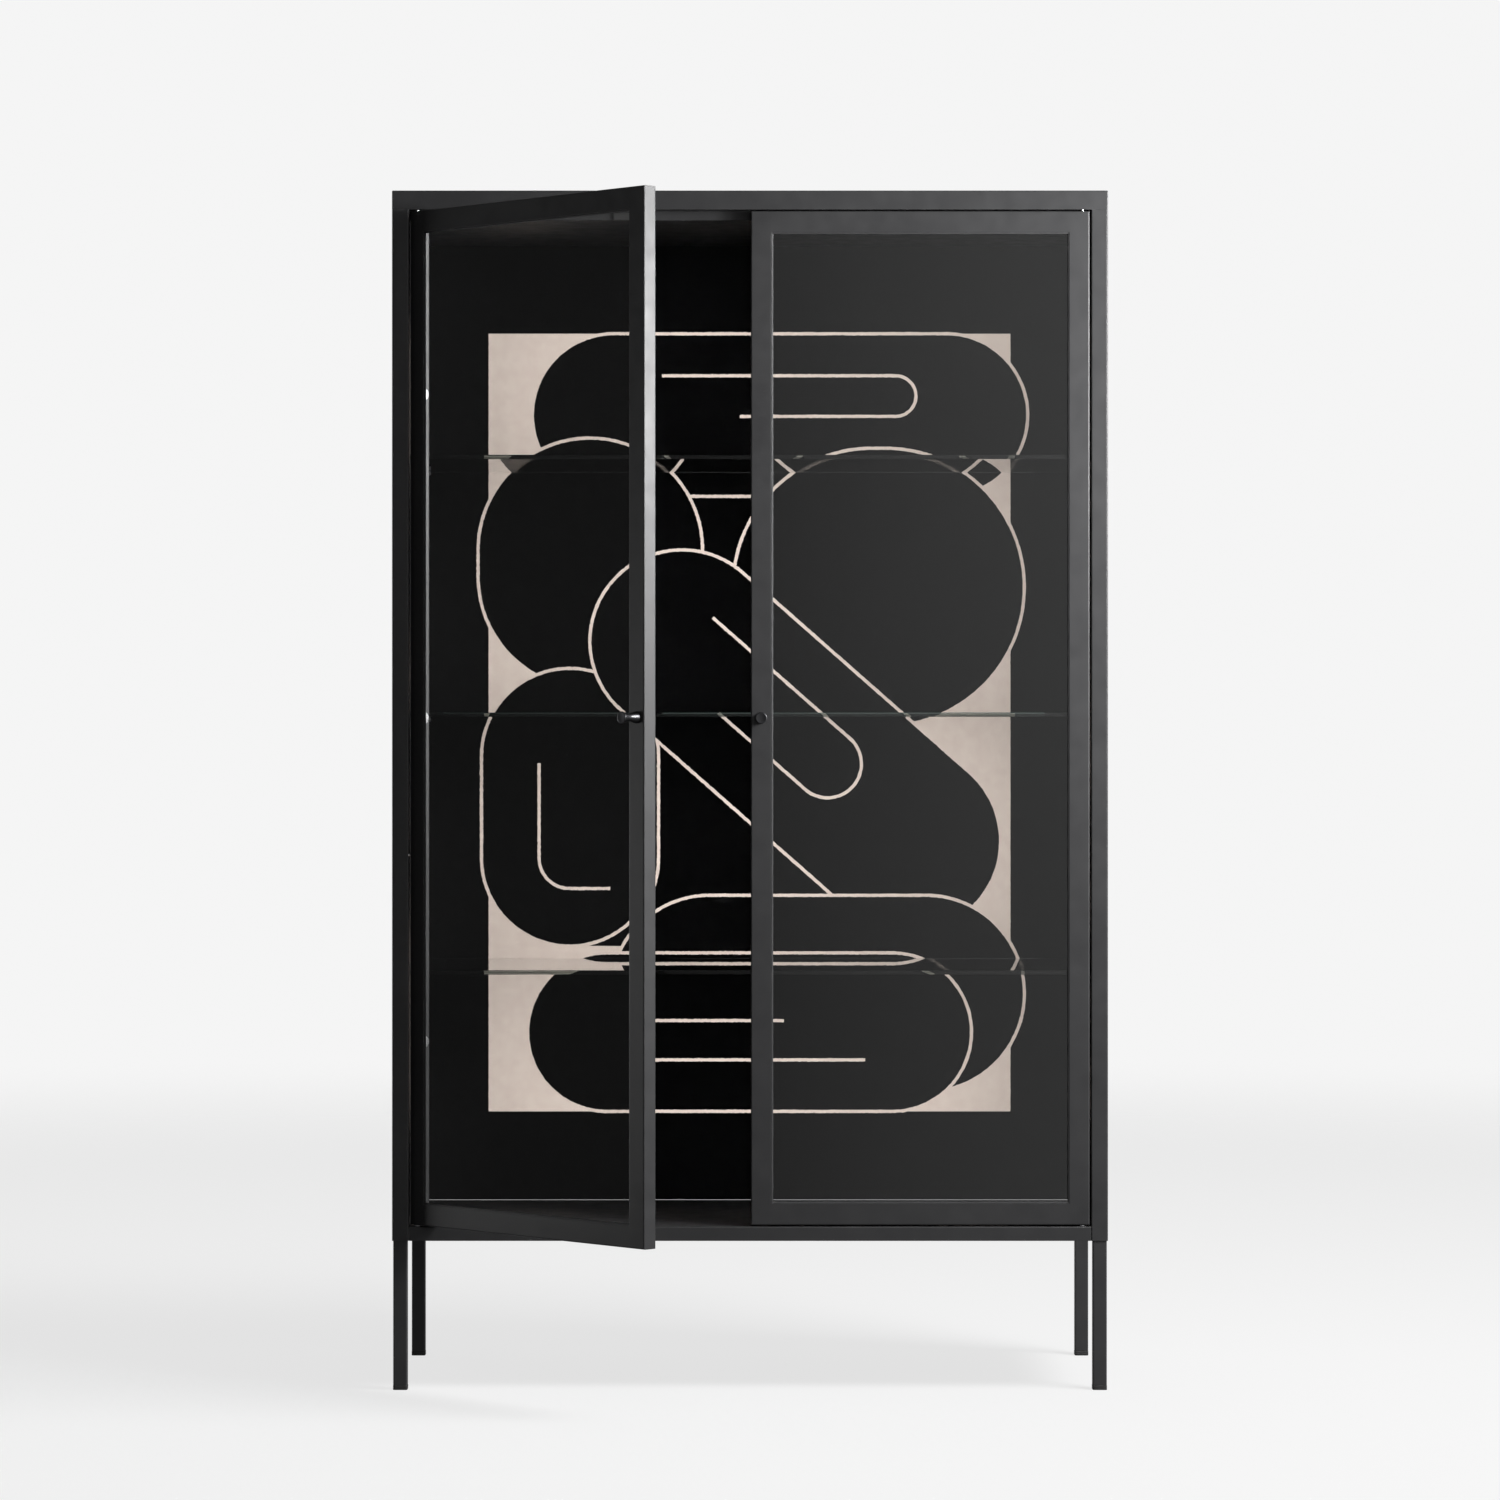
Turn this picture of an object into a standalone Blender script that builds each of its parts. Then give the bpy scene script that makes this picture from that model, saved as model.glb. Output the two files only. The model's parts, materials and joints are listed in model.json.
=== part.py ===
"""Free-standing two-door display cabinet: a folded sheet-metal body on four square legs, three glass
shelves, and two metal-framed glass doors that turn on top and bottom pivot pins.

Metres, +Z up. The front faces -Y and the floor is at z = 0. The origin is the middle of the whole
cabinet's footprint on the floor, with the left door standing open.
"""

import math

import bmesh
import bpy
from mathutils import Vector

# ---- Body: driving sizes ----
BODY_WIDTH = 1.000
BODY_DEPTH = 0.400
BODY_HEIGHT = 1.467
FLOOR_CLEARANCE = 0.2085        # floor to the underside of the body
SHEET = 0.0012                  # thickness of the folded steel sheet
BEND_RADIUS = 0.0012            # middle of the sheet, at every fold
SEAM = 0.0003                   # gap left between two pieces that touch
REAR_FLANGE = 0.020             # rear face of each side panel
TOP_RAIL = 0.0265               # front face above the doors
BOTTOM_RAIL = 0.020             # front face below the doors
CEILING_DROP = 0.013            # how far the ceiling hangs below the top rail, as a door stop
CEILING_FLANGE = 0.010          # rear edge of the ceiling, folded up
BACK_SETBACK = 0.008            # rear of the body to the inner face of the back panel

# ---- Legs and feet ----
LEG_SIZE = 0.0195
LEG_WALL = 0.0012
LEG_CORNER = 0.0015
LEG_PLAY = 0.0013               # from a leg to the lip folded back beside it
LEG_DROP = 0.002                # top of a leg below the level of the cabinet's floor
FOOT_HEIGHT = 0.0065
FOOT_OVERHANG = 0.0004
FOOT_PLUG = 0.012               # part of the foot that plugs into the tube
FOOT_EDGE = 0.0006
FOOT_EDGE_STEPS = 2

# ---- Shelves and their pins ----
SHELF_COUNT = 3
SHELF_THICKNESS = 0.006
SHELF_FIRST = 0.3535            # sill to the middle of the lowest shelf
SHELF_PITCH = 0.3615
SHELF_ROOM = 0.0045             # door stop to the front edge of a shelf
SHELF_SIDE_GAP = 0.0015
SHELF_REAR_GAP = 0.003
SHELF_ARRIS = 0.0005
PIN_REACH = 0.0095              # how far a shelf pin stands into the cabinet
PIN_INSET = 0.045               # shelf edge to the pin's axis
PEG_RADIUS = 0.003
PIN_COLLAR_RADIUS = 0.0045
PIN_SHANK_RADIUS = 0.0025
PIN_SHANK = 0.008

# ---- Doors ----
DOOR_GAP = 0.002                # round the outside of the pair of doors
MEETING_GAP = 0.0025            # between the two doors
DOOR_THICKNESS = 0.022
DOOR_SHEET = 0.0015
STILE_FACE = 0.0285             # width of the upright front faces
RAIL_FACE = 0.030               # height of the level front faces
DOOR_BOX = 0.019                # width of the folded box behind the faces
DOOR_SLIT = 0.0008              # where the box closes on the back of its own front face
DOOR_BEND_RADIUS = 0.00125
OPEN_DEG = {"left": 45.0, "right": 0.0}
PIVOT_INSET = 0.010             # outer edge of a door to its pivot axis
SWING_CLEARANCE = 0.0007        # between a turning door's rear corner and the stop

# ---- Door glass ----
GLASS_THICKNESS = 0.004
GLASS_ARRIS = 0.0004
SEAL_THICKNESS = 0.001
SEAL_LIP = 0.0026               # part of the seal that shows inside the frame
SEAL_BEAD = 0.0007              # how far the lip stands forward of the rest
SEAL_CHAMFER = 0.001
BUTTON_RADIUS = 0.0085
BUTTON_THICKNESS = 0.002
BUTTON_EDGE = 0.0004
BUTTONS_PER_DOOR = 3

# ---- Pivots ----
PIVOT_RADIUS = 0.0022
PIVOT_REACH = 0.009             # into the door
PIVOT_HEAD_RADIUS = 0.0033
PIVOT_HEAD = 0.0015
BUSH_WALL = 0.0009
BUSH_LENGTH = 0.006
WASHER_RADIUS = 0.004

# ---- Knobs ----
KNOB_LENGTH = 0.0285
KNOB_END_RADIUS = 0.0083
KNOB_WAIST_RADIUS = 0.0056
KNOB_FLARE = 1.4                # how sharply the waist widens towards both ends
KNOB_EDGE = 0.0007
KNOB_SCREW_RADIUS = 0.002
KNOB_SCREW_REACH = 0.012        # into the knob
KNOB_SCREW_HEAD_RADIUS = 0.0036
KNOB_SCREW_HEAD = 0.0018

# ---- Door catches ----
CATCH_LENGTH = 0.040
CATCH_OFFSET = 0.170            # cabinet's middle to the middle of a catch
CATCH_EDGE = 0.0004
CATCH_MARGIN = 0.0005           # above and below a catch, on the part of the stop behind the door

# ---- Roundness ----
BEND_STEPS = 3
ROUND_STEPS = 24
KNOB_STEPS = 12
CHAMFER_ANGLE_DEG = 40.0        # edges sharper than this are chamfered
CUT_LENGTH = 0.006              # cutter through one sheet
WELD_DISTANCE = 0.00005         # on the axis of a turned piece

# ---- Sides and directions ----
HANDS = (("left", -1.0), ("right", 1.0))
UPRIGHT = (0.0, 0.0, 0.0)
ALONG_X = (0.0, math.pi / 2, 0.0)
ALONG_Y = (math.pi / 2, 0.0, 0.0)
UPSIDE_DOWN = (math.pi, 0.0, 0.0)

# ---- Places that follow from the sizes above ----
SIDE_FLANGE = SHEET + SEAM + LEG_SIZE + LEG_PLAY + SHEET
HALF_WIDTH = BODY_WIDTH / 2
OPENING_HALF = HALF_WIDTH - SIDE_FLANGE
BODY_TOP = FLOOR_CLEARANCE + BODY_HEIGHT
LINTEL_Z = BODY_TOP - TOP_RAIL
SILL_Z = FLOOR_CLEARANCE + BOTTOM_RAIL
CEILING_Z = LINTEL_Z - CEILING_DROP
BACK_Y = BODY_DEPTH - BACK_SETBACK
LEG_TOP = SILL_Z - LEG_DROP
DOOR_BOTTOM = SILL_Z + DOOR_GAP
DOOR_HEIGHT = LINTEL_Z - SILL_Z - 2 * DOOR_GAP
DOOR_WIDTH = OPENING_HALF - DOOR_GAP - MEETING_GAP / 2
DOOR_TOP = DOOR_BOTTOM + DOOR_HEIGHT
PIVOT_X = OPENING_HALF - DOOR_GAP - PIVOT_INSET
BUSH_RADIUS = PIVOT_RADIUS + SEAM + BUSH_WALL
# the bush just clears the inside of the front face
PIVOT_DEPTH = DOOR_SHEET + 2 * SEAM + BUSH_RADIUS
# the rear outer corner of a turning door passes this far behind the front of the body
STOP_Y = PIVOT_DEPTH + math.hypot(PIVOT_INSET, DOOR_THICKNESS - PIVOT_DEPTH) + SWING_CLEARANCE
SHELF_SETBACK = STOP_Y + SHELF_ROOM
SEAL_DEPTH = DOOR_SHEET + SEAM
PIN_COLLAR = SHELF_SIDE_GAP - 2 * SEAM
GLASS_DEPTH = SEAL_DEPTH + SEAL_THICKNESS + SEAM
REBATE_INSET = DOOR_BOX + BUTTON_THICKNESS + 2 * SEAM
KNOB_INSET = STILE_FACE / 2
KNOB_Z = DOOR_BOTTOM + DOOR_HEIGHT / 2


# ---- Materials ----

def finish(name, color, roughness, metallic=0.0, transmission=0.0):
    material = bpy.data.materials.new(name)
    material.use_nodes = True
    shader = material.node_tree.nodes["Principled BSDF"]
    shader.inputs["Base Color"].default_value = (*color, 1.0)
    shader.inputs["Roughness"].default_value = roughness
    shader.inputs["Metallic"].default_value = metallic
    shader.inputs["Transmission Weight"].default_value = transmission
    material.diffuse_color = (*color, 1.0)
    return material


def make_finishes():
    return {
        "body_paint": finish("body_paint", (0.055, 0.055, 0.058), 0.45),
        "back_paint": finish("back_paint", (0.012, 0.012, 0.014), 0.35),
        "glass": finish("glass", (0.86, 0.93, 0.90), 0.02, transmission=1.0),
        "rubber": finish("rubber", (0.03, 0.03, 0.03), 0.5),
        "steel": finish("steel", (0.62, 0.62, 0.63), 0.3, metallic=1.0),
        "dark_metal": finish("dark_metal", (0.10, 0.10, 0.11), 0.28, metallic=1.0),
        "plastic": finish("plastic", (0.02, 0.02, 0.02), 0.55),
        "nylon": finish("nylon", (0.45, 0.45, 0.46), 0.5),
    }


# ---- Shapes ----

def add_object(name, mesh, material, parent, location=(0.0, 0.0, 0.0), turn=(0.0, 0.0, 0.0)):
    item = bpy.data.objects.new(name, mesh)
    item.data.materials.append(material)
    item.location = location
    item.rotation_euler = turn
    item.parent = parent
    PARTS.objects.link(item)
    return item


def mesh_from(name, build):
    """A mesh filled by build(bm), with its faces turned outwards."""
    mesh = bpy.data.meshes.new(name)
    bm = bmesh.new()
    build(bm)
    bmesh.ops.recalc_face_normals(bm, faces=bm.faces)
    bm.to_mesh(mesh)
    bm.free()
    return mesh


def solidify(item, thickness, offset):
    shell = item.modifiers.new("sheet", "SOLIDIFY")
    shell.thickness = thickness
    shell.offset = offset
    shell.use_even_offset = True
    shell.use_quality_normals = True


def chamfer_edges(item, width):
    edge = item.modifiers.new("edges", "BEVEL")
    edge.width = width
    edge.segments = 1
    edge.limit_method = "ANGLE"
    edge.angle_limit = math.radians(CHAMFER_ANGLE_DEG)


def rounded_path(corners, radius):
    """The path through the corners, with an arc of the radius at each inner corner."""
    points = [Vector(corners[0])]
    for before, here, after in zip(corners, corners[1:], corners[2:]):
        corner = Vector(here)
        entry = (Vector(before) - corner).normalized()
        leave = (Vector(after) - corner).normalized()
        half = entry.angle(leave) / 2
        centre = corner + (entry + leave).normalized() * radius / math.sin(half)
        start = corner + entry * radius / math.tan(half) - centre
        end = corner + leave * radius / math.tan(half) - centre
        for step in range(BEND_STEPS + 1):
            points.append(centre + radius * start.slerp(end, step / BEND_STEPS))
    points.append(Vector(corners[-1]))
    return points


def thick_outline(path, thickness):
    """The closed outline of a sheet of the thickness whose middle follows the path."""
    offsets = []
    for index, point in enumerate(path):
        runs = []
        if index > 0:
            runs.append((point - path[index - 1]).normalized())
        if index < len(path) - 1:
            runs.append((path[index + 1] - point).normalized())
        along = sum(runs, Vector((0.0, 0.0))).normalized()
        across = Vector((-along.y, along.x))
        offsets.append(across * thickness / 2 / along.dot(runs[0]))
    outer = [point + offset for point, offset in zip(path, offsets)]
    inner = [point - offset for point, offset in zip(path, offsets)]
    return outer + inner[::-1]


def folded_sheet(name, corners, place, ends, material, parent):
    """A sheet folded along the corners and as long as the ends say. place(a, b, c) turns a point
    (a, b) of the path, at c along its length, into x, y, z."""
    path = rounded_path(corners, BEND_RADIUS)

    def build(bm):
        rows = [[bm.verts.new(place(a, b, c)) for a, b in path] for c in ends]
        for index in range(len(path) - 1):
            bm.faces.new((rows[0][index], rows[0][index + 1], rows[1][index + 1], rows[1][index]))

    item = add_object(name, mesh_from(name, build), material, parent)
    solidify(item, SHEET, 0.0)
    return item


def mitred_frame(name, stile_outline, rail_outline, width, height, material, parent, location):
    """A section carried round a rectangle with mitred corners. Each outline point is (inset from
    the rectangle's edge, depth). The frame stands in the XZ plane, centred on its location."""

    def build(bm):
        rings = []
        for (stile_inset, depth), (rail_inset, _) in zip(stile_outline, rail_outline):
            x = width / 2 - stile_inset
            z = height / 2 - rail_inset
            corners = ((-x, -z), (x, -z), (x, z), (-x, z))
            rings.append([bm.verts.new((cx, depth, cz)) for cx, cz in corners])
        for ring, next_ring in zip(rings, rings[1:] + rings[:1]):
            for corner in range(4):
                other = (corner + 1) % 4
                bm.faces.new((ring[corner], ring[other], next_ring[other], next_ring[corner]))

    return add_object(name, mesh_from(name, build), material, parent, location)


def block(name, size, location, material, parent, edge=0.0):
    """A box centred on its location."""

    def build(bm):
        bmesh.ops.create_cube(bm, size=1.0)
        bmesh.ops.scale(bm, vec=size, verts=bm.verts)

    item = add_object(name, mesh_from(name, build), material, parent, location)
    if edge > 0.0:
        chamfer_edges(item, edge)
    return item


def turned(name, profile, material, parent, location, turn=(0.0, 0.0, 0.0), hollow=False):
    """A turned piece. The profile lists (radius, height) from the top down its outer side."""
    mesh = bpy.data.meshes.new(name)
    edges = [(index, index + 1) for index in range(len(profile) - 1)]
    if hollow:
        edges.append((len(profile) - 1, 0))
    mesh.from_pydata([(radius, 0.0, height) for radius, height in profile], edges, [])
    item = add_object(name, mesh, material, parent, location, turn)
    spin = item.modifiers.new("turning", "SCREW")
    spin.steps = ROUND_STEPS
    spin.render_steps = ROUND_STEPS
    spin.use_merge_vertices = True
    spin.merge_threshold = WELD_DISTANCE
    spin.use_smooth_shade = True
    return item


def bore(item, name, radius, depth, location, turn):
    """Cuts a round hole, centred on a location in the item's parent's frame."""

    def build(bm):
        bmesh.ops.create_cone(bm, cap_ends=True, segments=ROUND_STEPS, radius1=radius,
                              radius2=radius, depth=depth)

    cutter = bpy.data.objects.new(name, mesh_from(name, build))
    cutter.location = location
    cutter.rotation_euler = turn
    cutter.parent = item.parent
    cutter.hide_render = True
    cutter.display_type = "WIRE"
    CUTTERS.objects.link(cutter)
    cut = item.modifiers.new(name, "BOOLEAN")
    cut.operation = "DIFFERENCE"
    cut.object = cutter


# ---- Body ----

def sheet_along_x(a, b, c):
    return (c, a, b)


def make_top_panel(finishes, root):
    """A flat top with its four edges folded down, open below."""

    def build(bm):
        bmesh.ops.create_cube(bm, size=1.0)
        bmesh.ops.scale(bm, vec=(BODY_WIDTH, BODY_DEPTH, TOP_RAIL), verts=bm.verts)
        under = [face for face in bm.faces if face.normal.z < -0.5]
        bmesh.ops.delete(bm, geom=under, context="FACES_ONLY")
        folds = [edge for edge in bm.edges if not edge.is_boundary]
        bmesh.ops.bevel(bm, geom=folds, offset=BEND_RADIUS, segments=BEND_STEPS,
                        affect="EDGES", profile=0.5)

    centre = (0.0, BODY_DEPTH / 2, BODY_TOP - TOP_RAIL / 2)
    mesh = mesh_from("top_panel", build)
    panel = add_object("top_panel", mesh, finishes["body_paint"], root, centre)
    solidify(panel, SHEET, -1.0)


def make_side_panel(side, hand, finishes, root):
    """The outer skin, with its front edge folded in and back, and its rear edge folded in."""
    skin_x = HALF_WIDTH - SHEET / 2
    lip_x = OPENING_HALF + SHEET / 2
    corners = [
        (HALF_WIDTH - REAR_FLANGE, BODY_DEPTH - SHEET / 2),
        (skin_x, BODY_DEPTH - SHEET / 2),
        (skin_x, SHEET / 2),
        (lip_x, SHEET / 2),
        (lip_x, STOP_Y),
    ]
    folded_sheet(side + "_side_panel", corners, lambda a, b, c: (hand * a, b, c),
                 (FLOOR_CLEARANCE, LINTEL_Z - SEAM), finishes["body_paint"], root)


def pin_heights():
    for index in range(SHELF_COUNT):
        shelf_z = SILL_Z + SHELF_FIRST + index * SHELF_PITCH
        yield index + 1, shelf_z - SHELF_THICKNESS / 2 - SEAM - PEG_RADIUS


def pin_depths():
    shelf_rear = BACK_Y - SHELF_REAR_GAP
    return (("front", SHELF_SETBACK + PIN_INSET), ("rear", shelf_rear - PIN_INSET))


def make_side_liner(side, hand, finishes, root):
    """The inner wall, flush with the lip of the side panel, bored for the shelf pins."""
    front = STOP_Y + SEAM
    rear = BACK_Y - SEAM
    bottom = FLOOR_CLEARANCE
    top = LINTEL_Z - SEAM
    wall_x = hand * (OPENING_HALF + SHEET / 2)
    liner = block(side + "_side_liner", (SHEET, rear - front, top - bottom),
                  (wall_x, (front + rear) / 2, (top + bottom) / 2), finishes["body_paint"], root)
    for number, height in pin_heights():
        for row, depth in pin_depths():
            bore(liner, f"{side}_{row}_hole_{number}", PIN_SHANK_RADIUS + SEAM, CUT_LENGTH,
                 (wall_x, depth, height), ALONG_X)


def make_ceiling(finishes, root):
    """One sheet: a lip above the doors, a drop that stops them, the ceiling and a rear flange."""
    half = OPENING_HALF - SEAM
    rear_y = BACK_Y - SEAM - SHEET / 2
    sheet_z = CEILING_Z + SHEET / 2
    corners = [
        (SHEET + SEAM, LINTEL_Z + SHEET / 2),
        (STOP_Y + SHEET / 2, LINTEL_Z + SHEET / 2),
        (STOP_Y + SHEET / 2, sheet_z),
        (rear_y, sheet_z),
        (rear_y, CEILING_Z + CEILING_FLANGE),
    ]
    ceiling = folded_sheet("ceiling_panel", corners, sheet_along_x, (-half, half),
                           finishes["body_paint"], root)
    for side, hand in HANDS:
        bore(ceiling, side + "_top_pivot_hole", PIVOT_RADIUS + SEAM, CUT_LENGTH,
             (hand * PIVOT_X, PIVOT_DEPTH, LINTEL_Z + SHEET / 2), UPRIGHT)


def make_bottom(finishes, root):
    """One sheet: the rail below the doors, the floor of the cabinet and a rear flange."""
    half = OPENING_HALF - SEAM
    rear_y = BACK_Y - SEAM - SHEET / 2
    corners = [
        (SHEET / 2, FLOOR_CLEARANCE),
        (SHEET / 2, SILL_Z - SHEET / 2),
        (rear_y, SILL_Z - SHEET / 2),
        (rear_y, FLOOR_CLEARANCE),
    ]
    bottom = folded_sheet("bottom_panel", corners, sheet_along_x, (-half, half),
                          finishes["body_paint"], root)
    for side, hand in HANDS:
        bore(bottom, side + "_bottom_pivot_hole", PIVOT_RADIUS + SEAM, CUT_LENGTH,
             (hand * PIVOT_X, PIVOT_DEPTH, SILL_Z - SHEET / 2), UPRIGHT)


def make_back_panel(finishes, root):
    half = HALF_WIDTH - SHEET - SEAM
    rim_y = BODY_DEPTH - SHEET - SEAM
    face_y = BACK_Y + SHEET / 2
    low = SILL_Z + SHEET / 2
    high = LINTEL_Z - SEAM - SHEET / 2
    corners = [(rim_y, low), (face_y, low), (face_y, high), (rim_y, high)]
    folded_sheet("back_panel", corners, sheet_along_x, (-half, half), finishes["back_paint"], root)


# ---- Legs and feet ----

def make_leg(name, x, y, finishes, root):
    """A square tube, open at both ends."""
    length = LEG_TOP - FOOT_HEIGHT - SEAM

    def build(bm):
        bmesh.ops.create_cube(bm, size=1.0)
        bmesh.ops.scale(bm, vec=(LEG_SIZE, LEG_SIZE, length), verts=bm.verts)
        ends = [face for face in bm.faces if abs(face.normal.z) > 0.5]
        bmesh.ops.delete(bm, geom=ends, context="FACES_ONLY")
        corners = [edge for edge in bm.edges if not edge.is_boundary]
        bmesh.ops.bevel(bm, geom=corners, offset=LEG_CORNER, segments=BEND_STEPS,
                        affect="EDGES", profile=0.5)

    centre = (x, y, LEG_TOP - length / 2)
    leg = add_object(name, mesh_from(name, build), finishes["body_paint"], root, centre)
    solidify(leg, LEG_WALL, -1.0)


def make_foot(name, x, y, finishes, root):
    """A cap a little wider than the leg, with a plug that goes up into the tube."""
    cap = LEG_SIZE + 2 * FOOT_OVERHANG
    plug = LEG_SIZE - 2 * LEG_WALL - 2 * SEAM

    def build(bm):
        bmesh.ops.create_cube(bm, size=1.0)
        bmesh.ops.scale(bm, vec=(cap, cap, FOOT_HEIGHT), verts=bm.verts)
        bmesh.ops.bevel(bm, geom=list(bm.edges), offset=FOOT_EDGE,
                        segments=FOOT_EDGE_STEPS, affect="EDGES", profile=0.5)
        top = max(bm.faces, key=lambda face: face.calc_center_median().z)
        bmesh.ops.inset_individual(bm, faces=[top], thickness=(cap - plug) / 2 - FOOT_EDGE,
                                   use_even_offset=True)
        raised = bmesh.ops.extrude_discrete_faces(bm, faces=[top])["faces"]
        bmesh.ops.translate(bm, vec=(0.0, 0.0, FOOT_PLUG), verts=raised[0].verts)

    add_object(name, mesh_from(name, build), finishes["plastic"], root, (x, y, FOOT_HEIGHT / 2))


def make_legs(finishes, root):
    inset = SHEET + SEAM + LEG_SIZE / 2
    for row, y in (("front", inset), ("rear", BODY_DEPTH - inset)):
        for side, hand in HANDS:
            x = hand * (HALF_WIDTH - inset)
            make_leg(f"{row}_{side}_leg", x, y, finishes, root)
            make_foot(f"{row}_{side}_foot", x, y, finishes, root)


# ---- Shelves ----

def make_shelves(finishes, root):
    width = 2 * (OPENING_HALF - SHELF_SIDE_GAP)
    rear = BACK_Y - SHELF_REAR_GAP
    for index in range(SHELF_COUNT):
        height = SILL_Z + SHELF_FIRST + index * SHELF_PITCH
        block(f"glass_shelf_{index + 1}", (width, rear - SHELF_SETBACK, SHELF_THICKNESS),
              (0.0, (rear + SHELF_SETBACK) / 2, height), finishes["glass"], root, SHELF_ARRIS)


def make_shelf_pins(side, hand, finishes, root):
    """Each pin has a shank in the liner, a collar against it and a peg under the shelf."""
    profile = [
        (0.0, PIN_SHANK),
        (PIN_SHANK_RADIUS, PIN_SHANK),
        (PIN_SHANK_RADIUS, -SEAM),
        (PIN_COLLAR_RADIUS, -SEAM),
        (PIN_COLLAR_RADIUS, -SEAM - PIN_COLLAR),
        (PEG_RADIUS, -SEAM - PIN_COLLAR),
        (PEG_RADIUS, -PIN_REACH),
        (0.0, -PIN_REACH),
    ]
    for number, height in pin_heights():
        for row, depth in pin_depths():
            place = (hand * OPENING_HALF, depth, height)
            turned(f"{side}_{row}_shelf_pin_{number}", profile, finishes["steel"], root,
                   place, (0.0, hand * math.pi / 2, 0.0))


# ---- Pivots and catches, fixed to the body ----

def make_pivots(side, hand, finishes, root):
    """A headed pin hangs from the lip above the door and another stands up through the sill."""
    profile = [
        (0.0, PIVOT_HEAD),
        (PIVOT_HEAD_RADIUS, PIVOT_HEAD),
        (PIVOT_HEAD_RADIUS, SEAM),
        (PIVOT_RADIUS, SEAM),
        (PIVOT_RADIUS, -SHEET - DOOR_GAP - PIVOT_REACH),
        (0.0, -SHEET - DOOR_GAP - PIVOT_REACH),
    ]
    x = hand * PIVOT_X
    turned(side + "_top_pivot_pin", profile, finishes["steel"], root,
           (x, PIVOT_DEPTH, LINTEL_Z + SHEET))
    turned(side + "_bottom_pivot_pin", profile, finishes["steel"], root,
           (x, PIVOT_DEPTH, SILL_Z - SHEET), UPSIDE_DOWN)
    bore_radius = PIVOT_RADIUS + SEAM
    washer = [
        (bore_radius, DOOR_GAP - SEAM),
        (WASHER_RADIUS, DOOR_GAP - SEAM),
        (WASHER_RADIUS, SEAM),
        (bore_radius, SEAM),
    ]
    turned(side + "_bottom_pivot_washer", washer, finishes["nylon"], root,
           (x, PIVOT_DEPTH, SILL_Z), hollow=True)


def make_catch(side, hand, finishes, root):
    """A magnet block on the door stop, which the back of the shut door meets."""
    front = DOOR_THICKNESS + SEAM
    rear = STOP_Y - SEAM
    height = DOOR_TOP - CEILING_Z - 2 * CATCH_MARGIN
    centre_z = (DOOR_TOP + CEILING_Z) / 2
    block(side + "_door_catch", (CATCH_LENGTH, rear - front, height),
          (hand * CATCH_OFFSET, (front + rear) / 2, centre_z), finishes["plastic"], root,
          CATCH_EDGE)


# ---- Doors ----

def make_door_frame(side, finishes, pivot, centre, knob_x):
    """A welded frame of folded sheet: a front face and a box behind its outer edge."""
    middle = DOOR_SHEET / 2

    def outline(face):
        corners = [
            (face, middle),
            (middle, middle),
            (middle, DOOR_THICKNESS - middle),
            (DOOR_BOX - middle, DOOR_THICKNESS - middle),
            (DOOR_BOX - middle, DOOR_SHEET + DOOR_SLIT),
        ]
        return thick_outline(rounded_path(corners, DOOR_BEND_RADIUS), DOOR_SHEET)

    frame = mitred_frame(side + "_door_frame", outline(STILE_FACE), outline(RAIL_FACE), DOOR_WIDTH,
                         DOOR_HEIGHT, finishes["body_paint"], pivot, centre)
    for end, z in (("top", DOOR_TOP), ("bottom", DOOR_BOTTOM)):
        bore(frame, f"{side}_{end}_bush_hole", BUSH_RADIUS + SEAM, CUT_LENGTH,
             (0.0, 0.0, z), UPRIGHT)
    bore(frame, side + "_knob_hole", KNOB_SCREW_RADIUS + SEAM, 2 * DOOR_THICKNESS,
         (knob_x, centre[1] + DOOR_THICKNESS / 2, KNOB_Z), ALONG_Y)


def make_door_glass(side, finishes, pivot, centre):
    depth = centre[1] + GLASS_DEPTH + GLASS_THICKNESS / 2
    size = (DOOR_WIDTH - 2 * REBATE_INSET, GLASS_THICKNESS, DOOR_HEIGHT - 2 * REBATE_INSET)
    block(side + "_door_glass", size, (centre[0], depth, centre[2]), finishes["glass"], pivot,
          GLASS_ARRIS)


def make_door_seal(side, finishes, pivot, centre):
    """A flat strip between the front face and the glass, with a bead that shows inside it."""

    def outline(face):
        rear = SEAL_DEPTH + SEAL_THICKNESS
        shoulder = face + SEAM
        return [
            (REBATE_INSET, SEAL_DEPTH),
            (shoulder, SEAL_DEPTH),
            (shoulder, SEAL_DEPTH - SEAL_BEAD),
            (face + SEAL_LIP - SEAL_CHAMFER, SEAL_DEPTH - SEAL_BEAD),
            (face + SEAL_LIP, SEAL_DEPTH - SEAL_BEAD + SEAL_CHAMFER),
            (face + SEAL_LIP, rear),
            (REBATE_INSET, rear),
        ]

    mitred_frame(side + "_door_seal", outline(STILE_FACE), outline(RAIL_FACE), DOOR_WIDTH,
                 DOOR_HEIGHT, finishes["rubber"], pivot, centre)


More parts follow.
